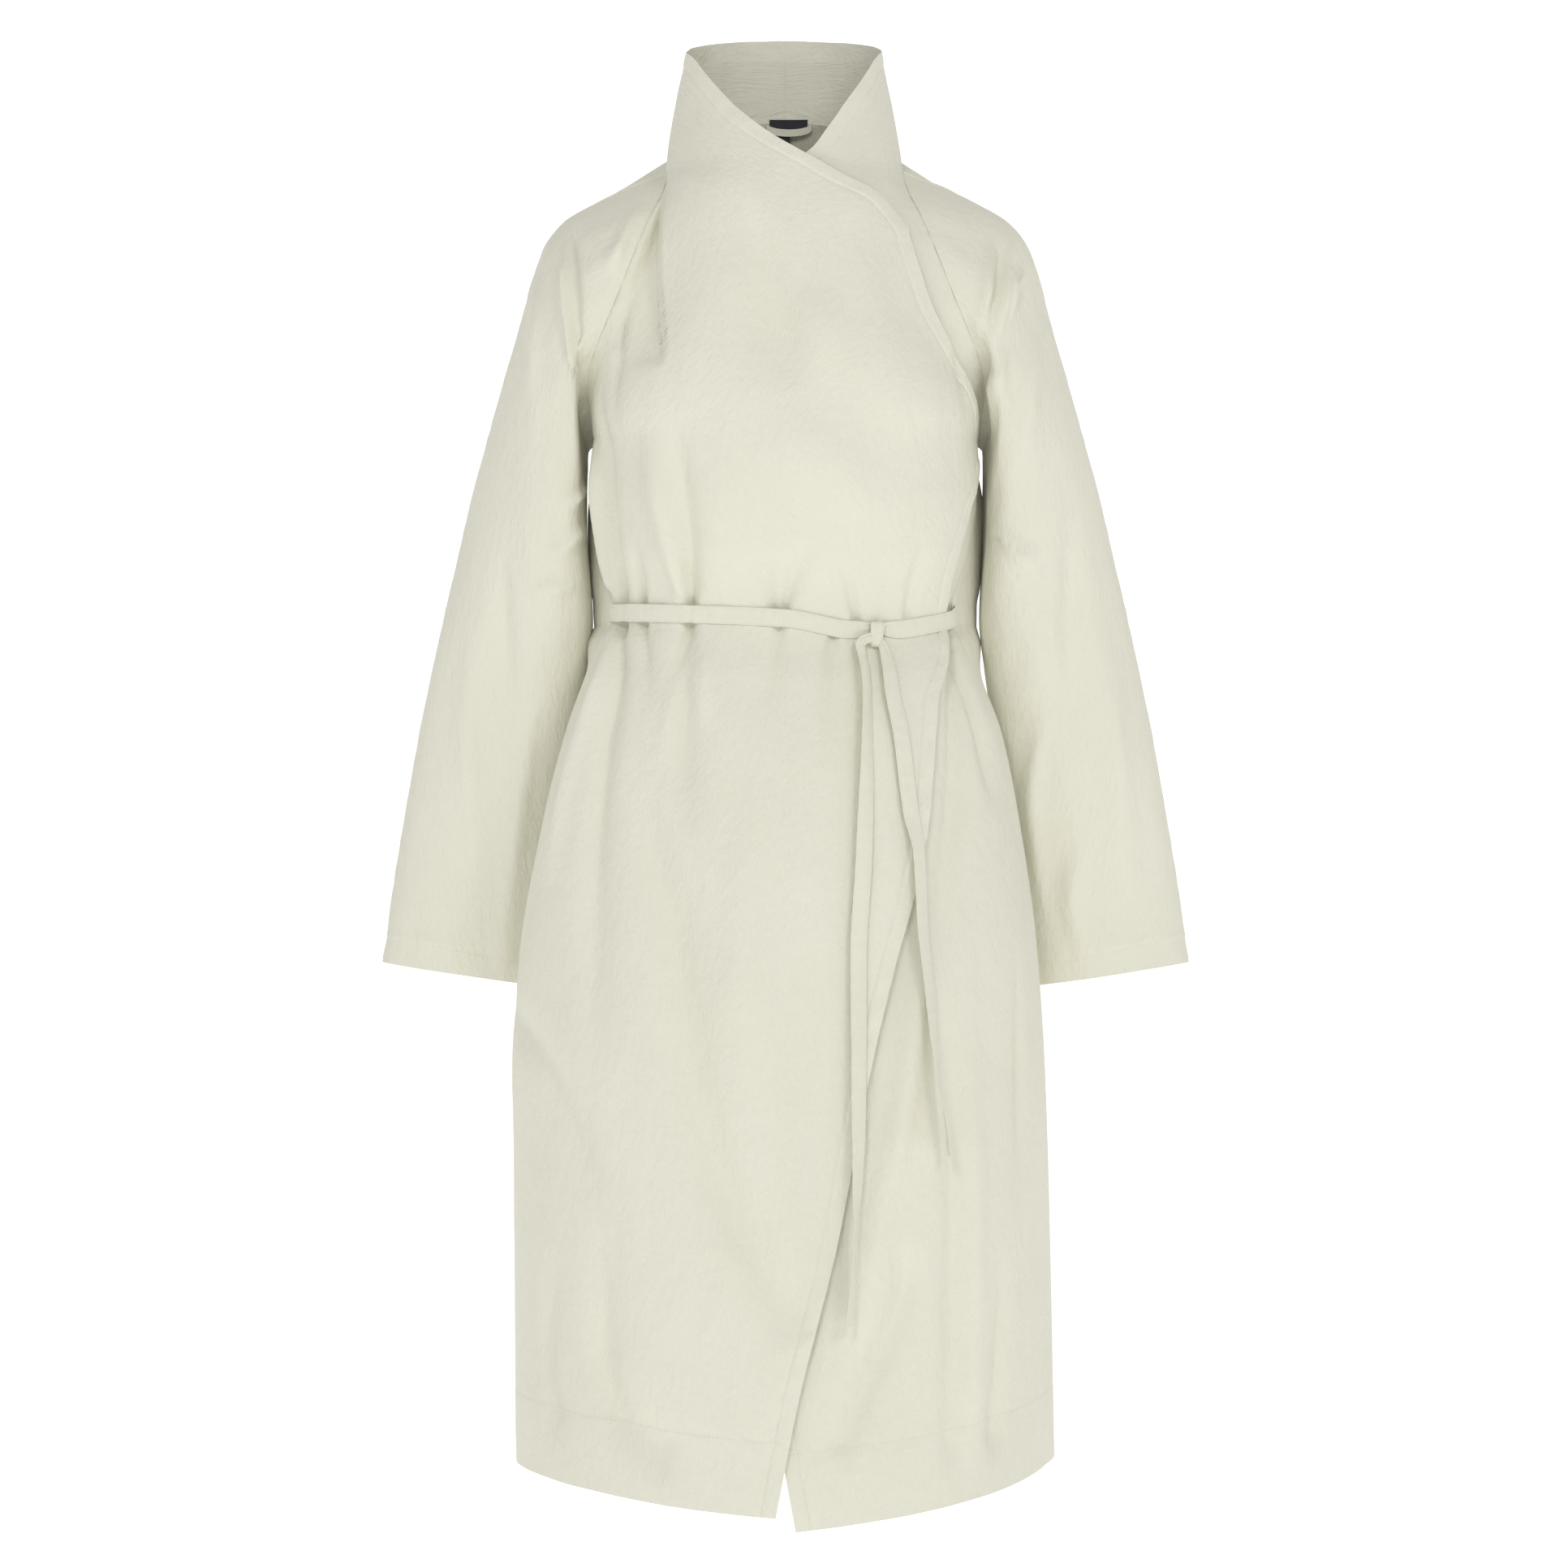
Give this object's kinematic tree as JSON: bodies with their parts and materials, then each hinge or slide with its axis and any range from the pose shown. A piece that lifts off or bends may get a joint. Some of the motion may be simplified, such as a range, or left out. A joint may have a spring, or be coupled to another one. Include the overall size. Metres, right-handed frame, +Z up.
{
  "type": "overcoat",
  "caption": "Light unlined wrap coat in worn shape, with a high wrapped collar, raglan sleeves, a narrow tie knotted at the waist and two hanging ends.",
  "frame": {"origin": "middle of the neck base, level with the two neck points, where the wearer's neck and shoulders hold the coat", "axes": "+Z up, the wearer faces -Y, the wearer's left is +X"},
  "size_m": [0.6906, 0.318, 1.2352],
  "materials": {
    "coat_cloth": "matte plain weave, pale stone",
    "tie_cloth": "the coat's cloth, doubled and topstitched",
    "label_weave": "dark woven tape, blank"
  },
  "bodies": {
    "root": {"front_right": "coat_cloth", "front_left": "coat_cloth", "back": "coat_cloth", "sleeve_front_right": "coat_cloth", "sleeve_front_left": "coat_cloth", "sleeve_back_right": "coat_cloth", "sleeve_back_left": "coat_cloth", "tie_right": "tie_cloth", "tie_left": "tie_cloth", "tie_knot": "tie_cloth", "tie_end_long": "tie_cloth", "tie_end_short": "tie_cloth", "hanger_loop": "tie_cloth", "neck_label": "label_weave", "size_tab": "label_weave"}
  },
  "joints": []
}
